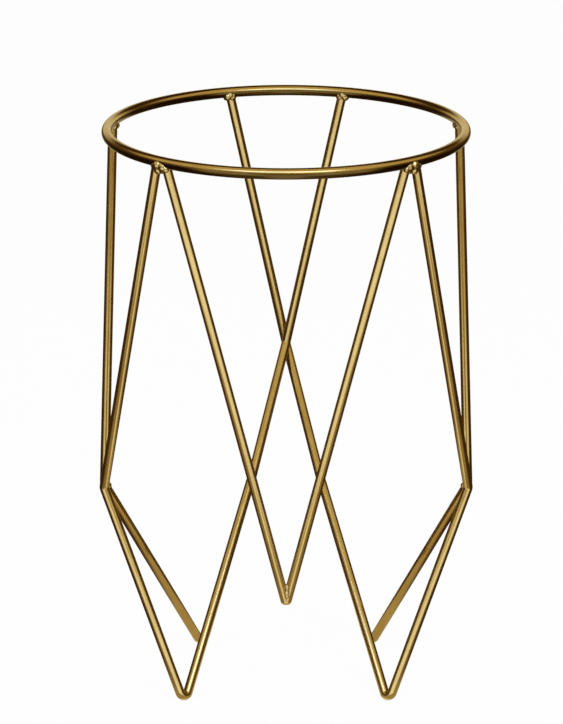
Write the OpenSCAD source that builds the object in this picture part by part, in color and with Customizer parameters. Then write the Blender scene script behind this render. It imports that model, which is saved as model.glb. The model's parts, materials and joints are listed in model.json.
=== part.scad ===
// Round wire plant stand: a ring on six rods, welded where they meet.
// Millimetres. The floor is z = 0, the ring's axis is Z, and the front is -Y.

/* [Ring] */
// Outer diameter of the ring
ring_od = 200; // [180:1:230]
// Wire diameter of the ring
ring_wire = 6; // [5.5:0.1:8]
// Height of the stand, from the floor to the top of the ring
stand_h = 311; // [290:1:350]

/* [Leg rods] */
// Diameter of every leg rod
rod_d = 5.2; // [4:0.1:5.4]
// Free radius on the inside of a bend
bend_inner = 0.3; // [0.2:0.1:2]

/* [Rod ends on the ring] */
// Angle of a long wire's front end, to the side of the front
front_end_deg = 44; // [42:0.2:48]
// Free space on the ring between a long wire's front end and the vee's end
pair_gap = 0.5; // [0.3:0.1:2]
// Angle of a short wire's end, behind the side of the ring
side_end_deg = 12.3; // [8:0.1:20]
// Angle of a long wire's rear end, to the side of the back
rear_end_deg = 19.3; // [15:0.1:25]

/* [Front vee] */
// Depth of the vee's corner below the middle of the ring wire
vee_drop = 248; // [200:1:265]
// Distance of the vee's corner in front of the ring's axis
vee_front = 68; // [60:1:80]
// How far each arm's rounded end stops short of the vee's corner
vee_short = 1.9; // [1.5:0.1:3]

/* [Side knees] */
// Depth of the side knees below the middle of the ring wire
knee_drop = 193; // [170:1:210]
// Distance of the side knees outside the middle line of the ring wire
knee_out = 2.8; // [-5:0.2:10]
// Distance of the side knees in front of the ring's axis
knee_front = 31; // [20:1:40]

/* [Rear crossing] */
// Depth of the rear crossing below the middle of the ring wire
cross_drop = 148.5; // [135:0.5:165]
// Distance of the rear crossing inside the middle line of the ring wire
cross_in = 3; // [1:0.5:13]

/* [Feet] */
// Distance of the front feet from the middle plane
front_foot_side = 56; // [48:1:65]
// Distance of the front feet in front of the ring's axis
front_foot_front = 62; // [54:1:68]
// Distance of the rear feet from the middle plane
rear_foot_side = 48; // [42:1:56]
// Distance of the rear feet behind the ring's axis
rear_foot_back = 28; // [20:1:40]
// Share of the way from front foot to rear crossing where the long wire is pulled in
pull_share = 0.62; // [0.5:0.01:0.7]
// How far the short wire's weld pulls the long wire towards the middle plane
weld_pull = 2.2; // [1:0.1:4]

/* [Weld beads] */
// How far a bead on the ring stands out round its rod
ring_bead = 0.8; // [0.6:0.1:1.1]
// Height of the middle of a bead on the ring above the ring's underside
ring_bead_up = 1; // [0.5:0.1:1.5]
// Distance between the two lumps of a single rod's bead on the ring
ring_bead_run = 2; // [1:0.1:2.6]
// How far a single rod's bead sits inside the middle of the ring wire
ring_bead_in = 0.9; // [0.3:0.1:1.3]
// Distance between the two upper lumps of a front pair's bead
pair_bead_run = 3; // [2:0.1:4]
// How far the bead of a front pair sits outside the middle of the ring wire
pair_bead_out = 1.3; // [0.5:0.1:2]
// Distance from a pair's two lumps down to the third one, between its rods
pair_bead_tail = 1.4; // [0.5:0.1:2.5]
// How far a bead reaches out where two rods meet
rod_bead = 3.1; // [2.9:0.1:3.6]
// Radius of the two lumps of weld in the crotch of the vee
vee_bead = 2; // [1.8:0.1:2.3]
// Distance between those two lumps
vee_bead_run = 2.6; // [1.6:0.1:2.8]
// How far they sit in front of the middle of the rods
vee_bead_front = 1.1; // [0.9:0.1:1.4]
// Radius of the plug of weld between two knees
knee_bead = 2.4; // [2:0.1:3]
// How far that plug stands out on its inner side
knee_bead_out = 0.6; // [0.2:0.1:1.5]

/* [Hidden] */
$fn = 48;
brass = "#B08D4A";
bead_brass = "#C9A862";
seat_gap = 0.05; // hairline between a bead or the ring and a rod
rod_gap = 0.3; // space between two rods that a bead holds together
bead_fn = 120; // facets round a bead
bend_thin = 0.02; // a bend is this much thinner in radius than the rod
bend_lap = 0.15; // length of a bend's ends inside the straights
brace_step = 1.2; // rod widths from the long wire's pulled corner to the short wire's end
bead_back = 0.5; // share of its radius by which a bead is drawn back into a fork

rod_r = rod_d / 2;
bend_r = rod_r + bend_inner;
ring_r = (ring_od - ring_wire) / 2;
ring_z = stand_h - ring_wire / 2;
bead_drop = ring_wire / 2 - ring_bead_up;

function unit(v) = v / norm(v);
function on_ring(deg) = [ring_r * cos(deg), ring_r * sin(deg), ring_z];

// Lowest point of a bend's middle line, above its corner
function bend_lift(before, corner, after) =
    let (
        to = unit(corner - before),
        on = unit(after - corner),
        half = acos(to * on) / 2,
        inward = unit(on - (on * to) * to),
        axis = cross(to, inward),
        middle = bend_r * (inward - tan(half) * to)
    )
    middle.z - bend_r * sqrt(1 - axis.z * axis.z);

// A foot's corner, set so that the bend above it just stands on the floor
function foot(x, y, before, after, tries = 3, z = 0) =
    tries == 0 ? [x, y, z]
    : foot(x, y, before, after, tries - 1, rod_r - bend_lift(before, [x, y, z], after));

// Places on the left side (-X), which the right side mirrors
front_end = on_ring(270 - front_end_deg);
pair_deg = 2 * asin((rod_d + pair_gap) / 2 / ring_r);
vee_end = on_ring(270 - front_end_deg + pair_deg);
side_end = on_ring(180 - side_end_deg);
rear_end = on_ring(90 - rear_end_deg); // beyond the middle: the long wires cross
vee_tip = [0, -vee_front, ring_z - vee_drop];
knee = [-ring_r - knee_out, -knee_front, ring_z - knee_drop];
crossing = [0, ring_r - cross_in, ring_z - cross_drop];

// Two knees touch back to back, the long wire's in front of the short wire's
knee_step = [0, rod_r + rod_gap / 2, 0];
long_knee = knee - knee_step;
short_knee = knee + knee_step;

// At the rear one long wire passes outside the other, square to the bend
up_back = unit([0, rear_end.y - crossing.y, rear_end.z - crossing.z]);
down_back = unit([0, -front_foot_front - crossing.y, -crossing.z]);
outward = -unit(up_back + down_back);
cross_step = (rod_d + rod_gap) / sin(acos(up_back * down_back) / 2);

// Points of each wire; lay is -1 for the inner long wire and 1 for the outer one
function cross_point(lay) = crossing + lay * outward * cross_step / 2;
front_stand = [-front_foot_side, -front_foot_front, 0];
function pull_point(lay) =
    front_stand + pull_share * (cross_point(lay) - front_stand) + [weld_pull, 0, 0];
function front_foot(lay) =
    foot(front_stand.x, front_stand.y, long_knee, pull_point(lay));
function brace_end(lay) =
    pull_point(lay) - brace_step * rod_d * unit(pull_point(lay) - front_foot(lay));
function long_path(lay) =
    [front_end, long_knee, front_foot(lay), pull_point(lay), cross_point(lay), rear_end];
function short_path(lay) =
    [side_end, short_knee, foot(-rear_foot_side, rear_foot_back, short_knee, brace_end(lay)),
     brace_end(lay)];
vee_path = [vee_end, vee_tip];
vee_arm = unit(vee_end - vee_tip);
// Inner edges of the two arms meet this far above the corner
vee_crotch = rod_r / abs(vee_arm.x);

// How much of a straight a bend at corner i takes up
function taken(path, i) =
    i == 0 || i == len(path) - 1 ? 0
    : bend_r * tan(acos(unit(path[i] - path[i - 1]) * unit(path[i + 1] - path[i])) / 2);

module straight(from, to, grow = 0) {
    run = to - from;
    translate(from)
        rotate([0, acos(run.z / norm(run)), atan2(run.y, run.x)])
            cylinder(h = norm(run), r = rod_r + grow);
}

module bend(path, i, grow = 0) {
    to = unit(path[i] - path[i - 1]);
    on = unit(path[i + 1] - path[i]);
    inward = unit(on - (on * to) * to);
    axis = cross(to, inward);
    middle = path[i] - taken(path, i) * to + bend_r * inward;
    lap = atan(bend_lap / bend_r);
    multmatrix([
        [-inward.x, to.x, axis.x, middle.x],
        [-inward.y, to.y, axis.y, middle.y],
        [-inward.z, to.z, axis.z, middle.z]
    ])
        rotate([0, 0, -lap])
            rotate_extrude(angle = acos(to * on) + 2 * lap)
                translate([bend_r, 0])
                    circle(r = rod_r - bend_thin + grow);
}

module wire(path, grow = 0) {
    for (i = [0 : len(path) - 2]) {
        way = unit(path[i + 1] - path[i]);
        straight(path[i] + taken(path, i) * way, path[i + 1] - taken(path, i + 1) * way, grow);
    }
    for (i = [1 : len(path) - 2]) bend(path, i, grow);
}

module hoop(grow = 0) {
    translate([0, 0, ring_z])
        rotate_extrude($fn = 2 * $fn)
            translate([ring_r, 0])
                circle(r = ring_wire / 2 + grow);
}

module right() {
    mirror([1, 0, 0]) children();
}

module top_ring() {
    color(brass) hoop();
}

// One arm of the vee, rounded at its foot and mitred in the middle plane
module vee_rod() {
    stop = vee_tip + vee_short * vee_arm;
    color(brass)
        difference() {
            union() {
                straight(stop, vee_end);
                translate(stop + bend_lap * vee_arm) sphere(r = rod_r - bend_thin);
            }
            hoop(seat_gap);
            translate(vee_tip - [seat_gap / 2, rod_d, rod_d]) cube([rod_d, 2 * rod_d, 4 * rod_d]);
        }
}

module long_wire(lay) {
    color(brass)
        difference() {
            wire(long_path(lay));
            hoop(seat_gap);
        }
}

module short_wire(lay) {
    path = long_path(lay);
    color(brass)
        difference() {
            wire(short_path(lay));
            hoop(seat_gap);
            straight(path[2], path[3], seat_gap);
        }
}

// Two lumps of a bead, side by side along the ring
module lumps(place, out, run) {
    outer = unit([place.x, place.y, 0]);
    for (side = [-1, 1])
        translate(place + out * outer - [0, 0, bead_drop])
            translate(side * run / 2 * [-outer.y, outer.x, 0])
                sphere(r = rod_r + ring_bead, $fn = bead_fn);
}

// A bead on the underside and the inside of the ring, round a rod that ends there
module ring_weld(path) {
    color(bead_brass)
        difference() {
            lumps(path[0], -ring_bead_in, ring_bead_run);
            hoop(seat_gap, $fn = bead_fn);
            straight(path[0], path[1], seat_gap, $fn = bead_fn);
        }
}

// A bead over a pair of rods, on the outside of the ring, with a tail between them
module pair_weld(paths) {
    middle = (paths[0][0] + paths[1][0]) / 2;
    outer = unit([middle.x, middle.y, 0]);
    color(bead_brass)
        difference() {
            union() {
                lumps(middle, pair_bead_out, pair_bead_run);
                translate(middle + pair_bead_out * outer - [0, 0, bead_drop + pair_bead_tail])
                    sphere(r = rod_r + ring_bead, $fn = bead_fn);
            }
            hoop(seat_gap, $fn = bead_fn);
            for (path = paths) straight(path[0], path[1], seat_gap, $fn = bead_fn);
        }
}

// Two lumps one above the other, in the valley in front of the mitre
module vee_weld() {
    up = unit([0, vee_arm.y, vee_arm.z]);
    color(bead_brass)
        difference() {
            for (lump = [1, 2])
                translate(vee_tip + (vee_crotch + vee_bead / 4 - lump * vee_bead_run) * up)
                    translate([0, -vee_bead_front, 0])
                        sphere(r = vee_bead, $fn = bead_fn);
            straight(vee_tip, vee_end, seat_gap, $fn = bead_fn);
            right() straight(vee_tip, vee_end, seat_gap, $fn = bead_fn);
        }
}

module knee_weld(lay) {
    color(bead_brass)
        difference() {
            translate(knee - [rod_r - seat_gap, 0, 0])
                rotate([0, 90, 0])
                    cylinder(h = rod_d + knee_bead_out, r = knee_bead, $fn = bead_fn);
            wire(long_path(lay), seat_gap, $fn = bead_fn);
            wire(short_path(lay), seat_gap, $fn = bead_fn);
        }
}

module crossing_weld() {
    color(bead_brass)
        difference() {
            translate(crossing) sphere(r = rod_bead, $fn = bead_fn);
            wire(long_path(-1), seat_gap, $fn = bead_fn);
            right() wire(long_path(1), seat_gap, $fn = bead_fn);
        }
}

module brace_weld(lay) {
    path = long_path(lay);
    brace = short_path(lay);
    toward = unit(brace[2] - brace[3]);
    along = unit(path[3] - path[2]);
    // Distance along the short wire at which it comes clear of the long one
    clear_at = rod_d / 2 / tan(acos(abs(toward * along)) / 2);
    color(bead_brass)
        difference() {
            translate(brace[3] + (clear_at - bead_back * rod_bead) * toward)
                sphere(r = rod_bead, $fn = bead_fn);
            straight(path[2], path[3], seat_gap, $fn = bead_fn);
            straight(brace[2], brace[3], seat_gap, $fn = bead_fn);
        }
}

top_ring();
vee_rod();  // left_vee_rod
right() vee_rod();  // right_vee_rod
long_wire(-1);  // left_long_wire
right() long_wire(1);  // right_long_wire
short_wire(-1);  // left_short_wire
right() short_wire(1);  // right_short_wire
vee_weld();  // weld_vee_tip
pair_weld([long_path(-1), vee_path]);  // weld_front_left
right() pair_weld([long_path(1), vee_path]);  // weld_front_right
ring_weld(short_path(-1));  // weld_side_left
right() ring_weld(short_path(1));  // weld_side_right
right() ring_weld([rear_end, cross_point(1)]);  // weld_rear_left
ring_weld([rear_end, cross_point(-1)]);  // weld_rear_right
knee_weld(-1);  // weld_knee_left
right() knee_weld(1);  // weld_knee_right
crossing_weld();  // weld_rear_crossing
brace_weld(-1);  // weld_brace_left
right() brace_weld(1);  // weld_brace_right
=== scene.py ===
import json
import math
import bpy
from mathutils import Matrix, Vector


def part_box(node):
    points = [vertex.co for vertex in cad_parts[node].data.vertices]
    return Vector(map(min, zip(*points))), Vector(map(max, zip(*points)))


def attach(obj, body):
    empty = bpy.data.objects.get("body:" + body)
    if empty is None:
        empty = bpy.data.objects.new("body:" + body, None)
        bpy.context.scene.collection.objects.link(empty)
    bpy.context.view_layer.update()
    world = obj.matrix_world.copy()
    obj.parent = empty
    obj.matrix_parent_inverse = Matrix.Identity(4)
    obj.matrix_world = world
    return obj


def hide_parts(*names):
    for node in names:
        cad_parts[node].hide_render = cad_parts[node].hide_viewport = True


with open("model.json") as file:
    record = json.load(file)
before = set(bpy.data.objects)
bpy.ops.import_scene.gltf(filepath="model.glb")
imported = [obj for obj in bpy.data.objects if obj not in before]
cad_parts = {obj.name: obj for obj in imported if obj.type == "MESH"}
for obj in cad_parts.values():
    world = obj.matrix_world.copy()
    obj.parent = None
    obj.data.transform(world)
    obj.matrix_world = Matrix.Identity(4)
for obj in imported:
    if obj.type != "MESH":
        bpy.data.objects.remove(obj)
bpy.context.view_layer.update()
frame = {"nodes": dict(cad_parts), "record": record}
scene = bpy.context.scene
scene.view_settings.view_transform = "Standard"
ringLow, ringHigh = (Vector(corner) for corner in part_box("top_ring"))
ringMiddle = (ringLow.z + ringHigh.z) / 2
print("frame loaded:", len(frame["nodes"]), "nodes")


# Camera: in front of the stand, a little above it, looking down
cameraSetup = {
    "distance": 1.940,        # from the ring's axis, m
    "aboveRing": 0.4652,      # above the middle of the ring wire, m
    "tiltDown": 17.095,       # degrees below level
    "lens": 182.8,            # mm
    "sensor": 36,             # mm, along the picture's tall side
    "shiftX": -0.0064,
}
cameraData = bpy.data.cameras.new("camera")
cameraData.lens = cameraSetup["lens"]
cameraData.sensor_width = cameraSetup["sensor"]
cameraData.shift_x = cameraSetup["shiftX"]
camera = bpy.data.objects.new("camera", cameraData)
camera.location = (0, -cameraSetup["distance"], ringMiddle + cameraSetup["aboveRing"])
camera.rotation_euler = (math.radians(90 - cameraSetup["tiltDown"]), 0, 0)
scene.collection.objects.link(camera)
scene.camera = camera


# Shader helpers. A value that goes into a socket is another socket, to link, or a constant.
# mixSockets has a Mix node's sockets by its data type: share, first, second and result.
mixSockets = {"FLOAT": (0, 2, 3, 0), "RGBA": (0, 6, 7, 2)}
white = (1, 1, 1, 1)


def addNode(tree, kind, **values):
    node = tree.nodes.new(kind)
    for name, value in values.items():
        setattr(node, name, value)
    return node


def feed(tree, value, socket):
    if isinstance(value, bpy.types.NodeSocket):
        tree.links.new(value, socket)
    else:
        socket.default_value = value


def addMath(tree, operation, first, second=None, clamp=False):
    node = addNode(tree, "ShaderNodeMath", operation=operation, use_clamp=clamp)
    feed(tree, first, node.inputs[0])
    if second is not None:
        feed(tree, second, node.inputs[1])
    return node.outputs[0]


def blend(tree, kind, share, first, second):
    node = addNode(tree, "ShaderNodeMix", data_type=kind)
    *sockets, result = mixSockets[kind]
    for socket, value in zip(sockets, (share, first, second)):
        feed(tree, value, node.inputs[socket])
    return node.outputs[result]


def mapRange(tree, value, fromEnds=(0, 1), toEnds=(0, 1), interpolation="LINEAR"):
    node = addNode(tree, "ShaderNodeMapRange", interpolation_type=interpolation)
    feed(tree, value, node.inputs["Value"])
    for name, end in zip(("From Min", "From Max", "To Min", "To Max"), (*fromEnds, *toEnds)):
        feed(tree, end, node.inputs[name])
    return node.outputs["Result"]


def addNoise(tree, place, scale, detail, rough=0.5):
    node = addNode(tree, "ShaderNodeTexNoise")
    for name, value in (
            ("Vector", place), ("Scale", scale), ("Detail", detail), ("Roughness", rough)):
        feed(tree, value, node.inputs[name])
    return node.outputs["Fac"]


def objectAxes(tree):
    place = addNode(tree, "ShaderNodeTexCoord").outputs["Object"]
    axes = addNode(tree, "ShaderNodeSeparateXYZ")
    feed(tree, place, axes.inputs[0])
    return place, axes.outputs


def addGlow(tree, colour, strength):
    node = addNode(tree, "ShaderNodeEmission")
    feed(tree, colour, node.inputs["Color"])
    feed(tree, strength, node.inputs["Strength"])
    return node.outputs[0]


def mixShaders(tree, share, first, second):
    node = addNode(tree, "ShaderNodeMixShader")
    for socket, value in enumerate((share, first, second)):
        feed(tree, value, node.inputs[socket])
    return node.outputs[0]


# 1 for a ray from the camera, off a shiny surface or through glass, 0 for one that gathers light
def seenShare(tree):
    rays = addNode(tree, "ShaderNodeLightPath").outputs
    seen = addMath(tree, "ADD", rays["Is Camera Ray"], rays["Is Glossy Ray"], clamp=True)
    return addMath(tree, "ADD", seen, rays["Is Transmission Ray"], clamp=True)


def useShader(tree, shader, kind="ShaderNodeOutputMaterial"):
    feed(tree, shader, addNode(tree, kind).inputs["Surface"])


def newMaterial(name):
    material = bpy.data.materials.new(name)
    material.use_nodes = True
    material.node_tree.nodes.clear()
    return material


# Plated wire: a mottled tone with paler flecks, painted shade that makes its underside browner,
# and a fine grain
platingSetup = {
    "mottleDetail": 4, "mottleRough": 0.6, "mottleEnds": (0.36, 0.66),
    "fleckScale": 170, "fleckDetail": 3, "fleckEnds": (0.5, 0.68),
    "grainDetail": 2, "grainDepth": 0.0002,
}


def groupSockets(group, inputs, outputs):
    for name, kind, default in inputs:
        socket = group.interface.new_socket(name=name, in_out="INPUT", socket_type=kind)
        socket.default_value = default
    for name, kind in outputs:
        group.interface.new_socket(name=name, in_out="OUTPUT", socket_type=kind)
    return group.nodes.new("NodeGroupInput").outputs, group.nodes.new("NodeGroupOutput").inputs


def buildPlatingGroup():
    group = bpy.data.node_groups.new("platedWire", "ShaderNodeTree")
    given, result = groupSockets(group, [
        ("Dark", "NodeSocketColor", (0.2, 0.1, 0.03, 1)),
        ("Warm", "NodeSocketColor", (0.6, 0.4, 0.15, 1)),
        ("Pale", "NodeSocketColor", (0.8, 0.65, 0.4, 1)),
        ("Mottle Scale", "NodeSocketFloat", 60.0),
        ("Grain Scale", "NodeSocketFloat", 900.0),
        ("Pale Amount", "NodeSocketFloat", 0.4),
        ("Rough Low", "NodeSocketFloat", 0.25),
        ("Rough High", "NodeSocketFloat", 0.45),
        ("Bump", "NodeSocketFloat", 0.15),
        # painted shade: a dark brown laid over the lower part by height; its share is 0 unless set
        ("Painted Shade", "NodeSocketColor", (0.15, 0.09, 0.03, 1)),
        ("Painted Shade Share", "NodeSocketFloat", 0.0),
        ("Painted Shade Top", "NodeSocketFloat", 0.01),
        ("Painted Shade Full", "NodeSocketFloat", 0.0),
    ], [
        ("Color", "NodeSocketColor"),
        ("Roughness", "NodeSocketFloat"),
        ("Normal", "NodeSocketVector"),
    ])
    setup = platingSetup
    place, axes = objectAxes(group)

    mottle = addNoise(
        group, place, given["Mottle Scale"], setup["mottleDetail"], setup["mottleRough"])
    toneShare = mapRange(group, mottle, setup["mottleEnds"])
    tone = blend(group, "RGBA", toneShare, given["Dark"], given["Warm"])
    fleck = addNoise(group, place, setup["fleckScale"], setup["fleckDetail"])
    fleckShare = addMath(
        group, "MULTIPLY", mapRange(group, fleck, setup["fleckEnds"]), given["Pale Amount"])
    paled = blend(group, "RGBA", fleckShare, tone, given["Pale"])

    # painted shade: browner below the Top height, and brownest from the Full height down
    under = mapRange(group, axes["Z"], (given["Painted Shade Top"], given["Painted Shade Full"]),
                     (0, given["Painted Shade Share"]), "SMOOTHSTEP")
    feed(group, blend(group, "RGBA", under, paled, given["Painted Shade"]), result["Color"])

    rough = mapRange(group, mottle, toEnds=(given["Rough Low"], given["Rough High"]))
    feed(group, rough, result["Roughness"])

    bump = addNode(group, "ShaderNodeBump")
    feed(group, setup["grainDepth"], bump.inputs["Distance"])
    feed(group, given["Bump"], bump.inputs["Strength"])
    feed(group, addNoise(group, place, given["Grain Scale"], setup["grainDetail"]),
         bump.inputs["Height"])
    feed(group, bump.outputs["Normal"], result["Normal"])
    return group


platedWire = buildPlatingGroup()


def brassMaterial(name, look):
    material = newMaterial(name)
    tree = material.node_tree
    plating = addNode(tree, "ShaderNodeGroup", node_tree=platedWire)
    for socket, value in look["plating"].items():
        feed(tree, value, plating.inputs[socket])
    shader = addNode(tree, "ShaderNodeBsdfPrincipled")
    for socket, value in (
            ("Metallic", 1), ("Coat Weight", look["coat"]), ("Coat Roughness", look["coatRough"]),
            ("Base Color", plating.outputs["Color"]), ("Roughness", plating.outputs["Roughness"]),
            ("Normal", plating.outputs["Normal"])):
        feed(tree, value, shader.inputs[socket])
    useShader(tree, shader.outputs["BSDF"])
    return material


rodLook = {
    "plating": {
        "Dark": (0.485, 0.33, 0.112, 1), "Warm": (0.55, 0.39, 0.142, 1),
        "Pale": (0.615, 0.455, 0.19, 1), "Pale Amount": 0.30, "Mottle Scale": 38.0,
        "Rough Low": 0.15, "Rough High": 0.23, "Bump": 0.0,
    },
    "coat": 0.6, "coatRough": 0.09,
}
ringLook = {
    "plating": {
        "Dark": (0.465, 0.308, 0.103, 1), "Warm": (0.53, 0.366, 0.13, 1),
        "Pale": (0.595, 0.435, 0.182, 1), "Pale Amount": 0.25, "Mottle Scale": 30.0,
        "Rough Low": 0.13, "Rough High": 0.21, "Bump": 0.0,
        # painted shade: the ring's lower half is browned dark, standing in for its dark reflection
        "Painted Shade": (0.07, 0.038, 0.006, 1), "Painted Shade Share": 0.93,
        "Painted Shade Top": ringMiddle + 0.0017, "Painted Shade Full": ringMiddle - 0.0002,
    },
    "coat": 0.12, "coatRough": 0.09,
}
# the weld beads' tones are paler than the rods': their brass tone with a painted highlight
weldLook = {
    "plating": {
        "Dark": (0.40, 0.27, 0.085, 1), "Warm": (0.61, 0.46, 0.20, 1),
        "Pale": (0.80, 0.68, 0.43, 1), "Pale Amount": 0.4, "Mottle Scale": 180.0,
        "Rough Low": 0.12, "Rough High": 0.26, "Grain Scale": 700.0, "Bump": 0.20,
    },
    "coat": 0.6, "coatRough": 0.12,
}
slotMaterials = {
    "ring": brassMaterial("antiqueBrassRing", ringLook),
    "rods": brassMaterial("antiqueBrassRods", rodLook),
    "welds": brassMaterial("antiqueBrassWelds", weldLook),
}

nodeSlots = {part["node"]: part["material_slot"] for part in frame["record"]["subparts"]}
for nodeName, nodeObject in frame["nodes"].items():
    nodeObject.data.materials.clear()
    nodeObject.data.materials.append(slotMaterials[nodeSlots[nodeName]])
print("materials on", len(nodeSlots), "nodes")


# Weld beads: lumps of metal run together, in place of the CAD's plain ones.
# A lump is (outward, away, up, radius) in mm, from the bead's place. Away is level and square to
# outward: it leads off from the middle plane, or to the front where outward is straight aside.
beadSetup = {
    "mmInMetre": 1000,
    "lumpSteps": 3,           # subdivisions of a lump's ball
    "straightAside": 0.99,    # a level way with more than this to the back counts as straight back
    "fuseGrain": 0.00022,     # voxel of the fused lumps, m
    "swell": 0.00055, "swellScale": 0.0021,
    "ripple": 0.00016, "rippleScale": 0.0007,
    "waveMiddle": 0.55,       # the noise's value that moves nothing
    "smoothShare": 0.5, "smoothTimes": 2,
    "veeRodRadius": 0.0026,
    "veeTipDepth": 0.0031,    # from the front of the CAD's bead back to the new bead's place
    "frontPair": ((1.3, -4.5, -3.0, 2.0), (1.5, -2.6, -1.9, 2.6), (1.7, 0.4, -1.4, 2.9),
                  (1.5, 2.9, -2.2, 2.3), (1.3, 0.7, -4.0, 2.6), (0.6, -1.6, -3.9, 2.2),
                  (0.4, 0.6, -2.0, 3.0)),
    "single": ((-1.1, 1.7, -2.2, 2.5), (-1.0, -1.1, -2.3, 2.6), (-1.9, 0.3, -1.2, 1.9),
               (0.8, 0.2, -2.4, 2.5)),
    "knee": ((-2.0, -0.3, 0.2, 1.7), (-0.4, 0.2, 0.0, 2.1), (-1.5, -5.2, 0.3, 0.75),
             (-2.2, -4.3, -0.9, 0.7)),
    "brace": ((0.0, 0.0, 0.0, 2.2), (0.2, 0.4, 0.9, 1.5)),
    "crossing": ((0.0, 0.0, 0.0, 2.3), (-0.6, 0.5, -1.2, 1.9), (0.3, -0.5, 1.3, 1.9)),
    "veeTip": ((0.0, 0.0, 0.3, 2.5), (1.7, 0.5, 3.2, 1.6), (1.9, 0.4, 5.2, 1.6),
               (1.8, 0.5, 7.0, 1.5), (1.2, 0.3, 8.8, 1.2)),
}


def boxMiddle(node):
    low, high = (Vector(corner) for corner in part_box(node))
    return (low + high) / 2


# The place on the ring wire's middle line next to a node, and the level way outward there
def ringPlace(node):
    middle = boxMiddle(node)
    outward = Vector((middle.x, middle.y, 0)).normalized()
    ringRadius = (ringHigh.x - ringLow.x - ringHigh.z + ringLow.z) / 2
    return outward * ringRadius + Vector((0, 0, ringMiddle)), outward


# The middle of the vee's foot, and the way to the front
def veePlace():
    rodLow = Vector(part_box("left_vee_rod")[0])
    beadLow = Vector(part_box("weld_vee_tip")[0])
    place = Vector((0, beadLow.y + beadSetup["veeTipDepth"], rodLow.z + beadSetup["veeRodRadius"]))
    return place, Vector((0, -1, 0))


def applyModifier(piece, name, kind, **values):
    modifier = piece.modifiers.new(name, kind)
    for field, value in values.items():
        setattr(modifier, field, value)
    bpy.ops.object.modifier_apply(modifier=modifier.name)


def makeBead(name, node, place, outward, lumps):
    away = Vector((-outward.y, outward.x, 0))
    if away.x * place.x < 0 or away.y > beadSetup["straightAside"]:
        away = -away
    bpy.ops.object.select_all(action="DESELECT")
    balls = []
    for out, aside, up, radius in lumps:
        shift = out * outward + aside * away + up * Vector((0, 0, 1))
        bpy.ops.mesh.primitive_ico_sphere_add(
            subdivisions=beadSetup["lumpSteps"], radius=radius / beadSetup["mmInMetre"],
            location=place + shift / beadSetup["mmInMetre"])
        balls.append(bpy.context.object)
    for ball in balls:
        ball.select_set(True)
    bead = balls[0]
    bpy.context.view_layer.objects.active = bead
    bpy.ops.object.join()
    bead.name = name
    bpy.ops.object.transform_apply(location=True, rotation=True, scale=True)
    applyModifier(bead, "fuse", "REMESH", mode="VOXEL", voxel_size=beadSetup["fuseGrain"])
    for effect in ("swell", "ripple"):
        clouds = bpy.data.textures.new(name + effect, "CLOUDS")
        clouds.noise_scale = beadSetup[effect + "Scale"]
        applyModifier(bead, effect, "DISPLACE", texture=clouds, texture_coords="LOCAL",
                      strength=beadSetup[effect], mid_level=beadSetup["waveMiddle"])
    applyModifier(bead, "smooth", "SMOOTH", factor=beadSetup["smoothShare"],
                  iterations=beadSetup["smoothTimes"])
    bpy.ops.object.shade_smooth()
    bead.data.materials.clear()
    bead.data.materials.append(slotMaterials["welds"])
    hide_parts(node)
    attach(bead, "root")


for side, sideways in (("left", Vector((-1, 0, 0))), ("right", Vector((1, 0, 0)))):
    for spot, kind in (("front", "frontPair"), ("side", "single"), ("rear", "single")):
        node = "weld_" + spot + "_" + side
        makeBead(side + "_" + spot + "_bead", node, *ringPlace(node), beadSetup[kind])
    for spot in ("knee", "brace"):
        node = "weld_" + spot + "_" + side
        makeBead(side + "_" + spot + "_bead", node, boxMiddle(node), sideways, beadSetup[spot])
makeBead("rear_crossing_bead", "weld_rear_crossing", boxMiddle("weld_rear_crossing"),
         Vector((0, 1, 0)), beadSetup["crossing"])
makeBead("vee_tip_bead", "weld_vee_tip", *veePlace(), beadSetup["veeTip"])
print("weld beads made")


# Floor: a plain white sheet that keeps the stand's soft shadow
floorSetup = {"size": 8.0, "color": (0.95, 0.95, 0.95, 1), "whiteShare": 0.955, "glow": 1.0}
bpy.ops.object.select_all(action="DESELECT")
bpy.ops.mesh.primitive_plane_add(size=floorSetup["size"], location=(0, 0, 0))
floor = bpy.context.object
floor.name = "floor"
floorMaterial = newMaterial("whiteFloor")
floorTree = floorMaterial.node_tree
floorPaint = addNode(floorTree, "ShaderNodeBsdfDiffuse")
feed(floorTree, floorSetup["color"], floorPaint.inputs["Color"])
floorWhite = addMath(floorTree, "MULTIPLY", seenShare(floorTree), floorSetup["whiteShare"])
useShader(floorTree, mixShaders(
    floorTree, floorWhite, floorPaint.outputs[0], addGlow(floorTree, white, floorSetup["glow"])))
floor.data.materials.append(floorMaterial)


# World: white behind the stand, softer light on it
worldSetup = {"light": 0.55, "seen": 1.0}
world = bpy.data.worlds.new("softRoom")
scene.world = world
world.use_nodes = True
worldTree = world.node_tree
worldTree.nodes.clear()
worldShaders = []
for use in ("light", "seen"):
    background = addNode(worldTree, "ShaderNodeBackground")
    feed(worldTree, white, background.inputs["Color"])
    feed(worldTree, worldSetup[use], background.inputs["Strength"])
    worldShaders.append(background.outputs[0])
useShader(worldTree, mixShaders(worldTree, seenShare(worldTree), *worldShaders),
          "ShaderNodeOutputWorld")


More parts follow.
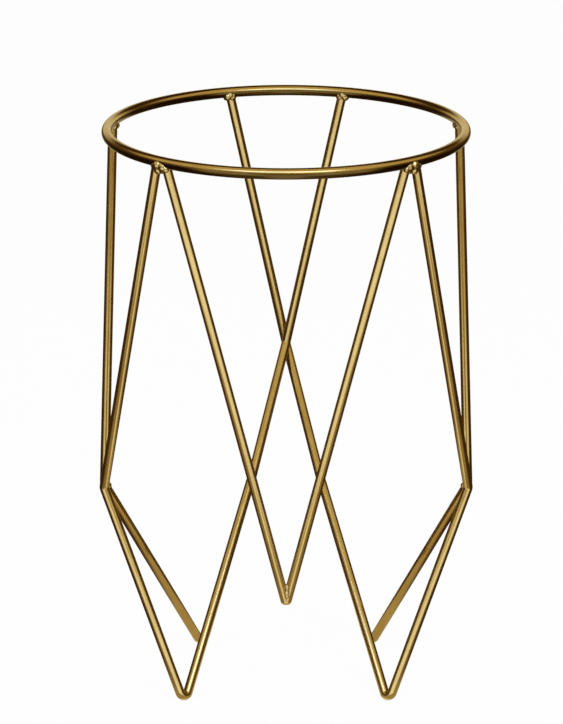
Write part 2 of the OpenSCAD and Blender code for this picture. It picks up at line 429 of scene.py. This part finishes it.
# Cards round the stand, as in a photographer's tent, that only the metal's reflections see.
# Each shade is a share of white, by the angle from the front, 0 to 180 degrees.
tentSetup = {
    "radius": 0.62, "height": 1.1, "lift": 0.002, "sides": 64, "strength": 1.55,
    "low": ((0, 0.98), (10, 0.96), (24, 0.98), (32, 0.95), (39, 0.75), (46, 0.85), (60, 0.05),
            (140, 0.04), (160, 0.46), (180, 0.50)),
    "middle": ((0, 0.22), (12, 0.26), (24, 0.92), (34, 0.58), (42, 0.80), (60, 0.06),
               (140, 0.04), (160, 0.20), (180, 0.22)),
    "high": ((0, 0.40), (45, 0.36), (70, 0.15), (125, 0.15), (152, 0.50), (180, 0.56)),
    "top": ((0, 0.50), (100, 0.50), (135, 0.03), (180, 0.02)),
    "toMiddle": (0.18, 0.24),      # heights on the wall where a band's shades take over
    "toHigh": (0.29, 0.37),
    "toTop": (0.50, 0.60),
    "near": ((0, 0.84), (9, 0.80), (17, 0.32), (48, 0.30), (66, 0.06), (180, 0.04)),
    "underShade": 0.42,            # the floor right under the stand
    "underToNear": (0.06, 0.13),   # distances between which the floor's shades change
    "nearToLow": (0.44, 0.62),
    "capSize": (1.3, 1.3), "capShade": 0.50, "capBackShade": 0.02,
    "capFade": (0.12, 0.30),       # distances behind the middle between the cap's two shades
    "tones": ((0.0, (0.020, 0.010, 0.003, 1)), (0.2, (0.115, 0.066, 0.024, 1)),
              (0.5, (0.51, 0.44, 0.24, 1)), (1.0, (0.95, 1.05, 1.12, 1))),
    "stripPlace": (-0.05, -0.486, 0.77), "stripTilt": 40, "stripSize": (0.80, 0.22),
    "stripStrength": 3.0, "stripColor": (0.82, 1.13, 1.70, 1),
}


def makeStageCard(card, name):
    bpy.ops.object.transform_apply(location=True, rotation=True, scale=True)
    card.name = name
    card.visible_camera = False
    card.visible_diffuse = False
    card.visible_transmission = False
    card.visible_shadow = False
    paint = newMaterial(name)
    card.data.materials.append(paint)
    return paint.node_tree


def colourRamp(tree, value, stops):
    ramp = addNode(tree, "ShaderNodeValToRGB")
    feed(tree, value, ramp.inputs["Fac"])
    elements = ramp.color_ramp.elements
    while len(elements) < len(stops):
        elements.new(1)
    for element, (position, colour) in zip(elements, stops):
        element.position = position
        element.color = colour
    return ramp.outputs["Color"]


def shadeRamp(tree, turn, stops):
    halfTurn = 180
    return colourRamp(
        tree, turn, [(angle / halfTurn, (shade, shade, shade, 1)) for angle, shade in stops])


def fadeShade(tree, value, ends, first, second):
    share = mapRange(tree, value, ends, interpolation="SMOOTHSTEP")
    return blend(tree, "FLOAT", share, first, second)


def finishShade(tree, shade):
    tone = colourRamp(tree, shade, tentSetup["tones"])
    useShader(tree, addGlow(tree, tone, tentSetup["strength"]))


# The angle from the front as a share of half a turn, the same on both sides
def turnShare(tree, axes):
    toFront = addMath(tree, "MULTIPLY", axes["Y"], -1)
    toSide = addMath(tree, "ABSOLUTE", axes["X"])
    return addMath(tree, "DIVIDE", addMath(tree, "ARCTAN2", toSide, toFront), math.pi)


def addTentWall():
    bpy.ops.object.select_all(action="DESELECT")
    bpy.ops.mesh.primitive_cylinder_add(
        vertices=tentSetup["sides"], radius=tentSetup["radius"], depth=tentSetup["height"],
        end_fill_type="NOTHING", location=(0, 0, tentSetup["height"] / 2 + tentSetup["lift"]))
    tree = makeStageCard(bpy.context.object, "tentWall")
    axes = objectAxes(tree)[1]
    turn = turnShare(tree, axes)
    shade = shadeRamp(tree, turn, tentSetup["low"])
    for band, ends in (("middle", "toMiddle"), ("high", "toHigh"), ("top", "toTop")):
        above = shadeRamp(tree, turn, tentSetup[band])
        shade = fadeShade(tree, axes["Z"], tentSetup[ends], shade, above)
    finishShade(tree, shade)


def addTentFloor():
    bpy.ops.object.select_all(action="DESELECT")
    bpy.ops.mesh.primitive_circle_add(
        vertices=tentSetup["sides"], radius=tentSetup["radius"], fill_type="NGON",
        location=(0, 0, tentSetup["lift"]))
    tree = makeStageCard(bpy.context.object, "tentFloor")
    place, axes = objectAxes(tree)
    turn = turnShare(tree, axes)
    length = addNode(tree, "ShaderNodeVectorMath", operation="LENGTH")
    feed(tree, place, length.inputs[0])
    reach = length.outputs["Value"]
    near = fadeShade(tree, reach, tentSetup["underToNear"], tentSetup["underShade"],
                     shadeRamp(tree, turn, tentSetup["near"]))
    low = shadeRamp(tree, turn, tentSetup["low"])
    finishShade(tree, fadeShade(tree, reach, tentSetup["nearToLow"], near, low))


def addTiltedCard(name, place, tilt, size):
    bpy.ops.object.select_all(action="DESELECT")
    bpy.ops.mesh.primitive_plane_add(size=1, location=place, rotation=(math.radians(tilt), 0, 0))
    card = bpy.context.object
    card.scale = (*size, 1)
    return makeStageCard(card, name)


def addTentCap():
    tree = addTiltedCard("tentCap", (0, 0, tentSetup["height"]), 0, tentSetup["capSize"])
    axes = objectAxes(tree)[1]
    finishShade(tree, fadeShade(tree, axes["Y"], tentSetup["capFade"], tentSetup["capShade"],
                                tentSetup["capBackShade"]))


def addTentStrip():
    tree = addTiltedCard(
        "tentStrip", tentSetup["stripPlace"], tentSetup["stripTilt"], tentSetup["stripSize"])
    useShader(tree, addGlow(tree, tentSetup["stripColor"], tentSetup["stripStrength"]))


addTentWall()
addTentFloor()
addTentCap()
addTentStrip()
print("reflection cards ready")


# Lamps: soft areas of light that look at the stand's middle
lampAim = Vector((0, 0, 0.15))
lampSetup = {
    "keyLamp": {
        "place": (0.5, -1.2, 1.4), "size": (0.6, 0.6), "power": 12, "tint": (1, 0.97, 0.92)},
    "fillLamp": {
        "place": (-1.2, -0.8, 0.9), "size": (0.5, 0.9), "power": 6, "tint": (1, 0.98, 0.94)},
}
for name, setup in lampSetup.items():
    lampData = bpy.data.lights.new(name, "AREA")
    lampData.shape = "RECTANGLE"
    lampData.size, lampData.size_y = setup["size"]
    lampData.energy = setup["power"]
    lampData.color = setup["tint"]
    lamp = bpy.data.objects.new(name, lampData)
    lamp.location = setup["place"]
    lamp.rotation_euler = (lampAim - Vector(setup["place"])).to_track_quat("-Z", "Y").to_euler()
    scene.collection.objects.link(lamp)
print("floor, world and lamps ready")
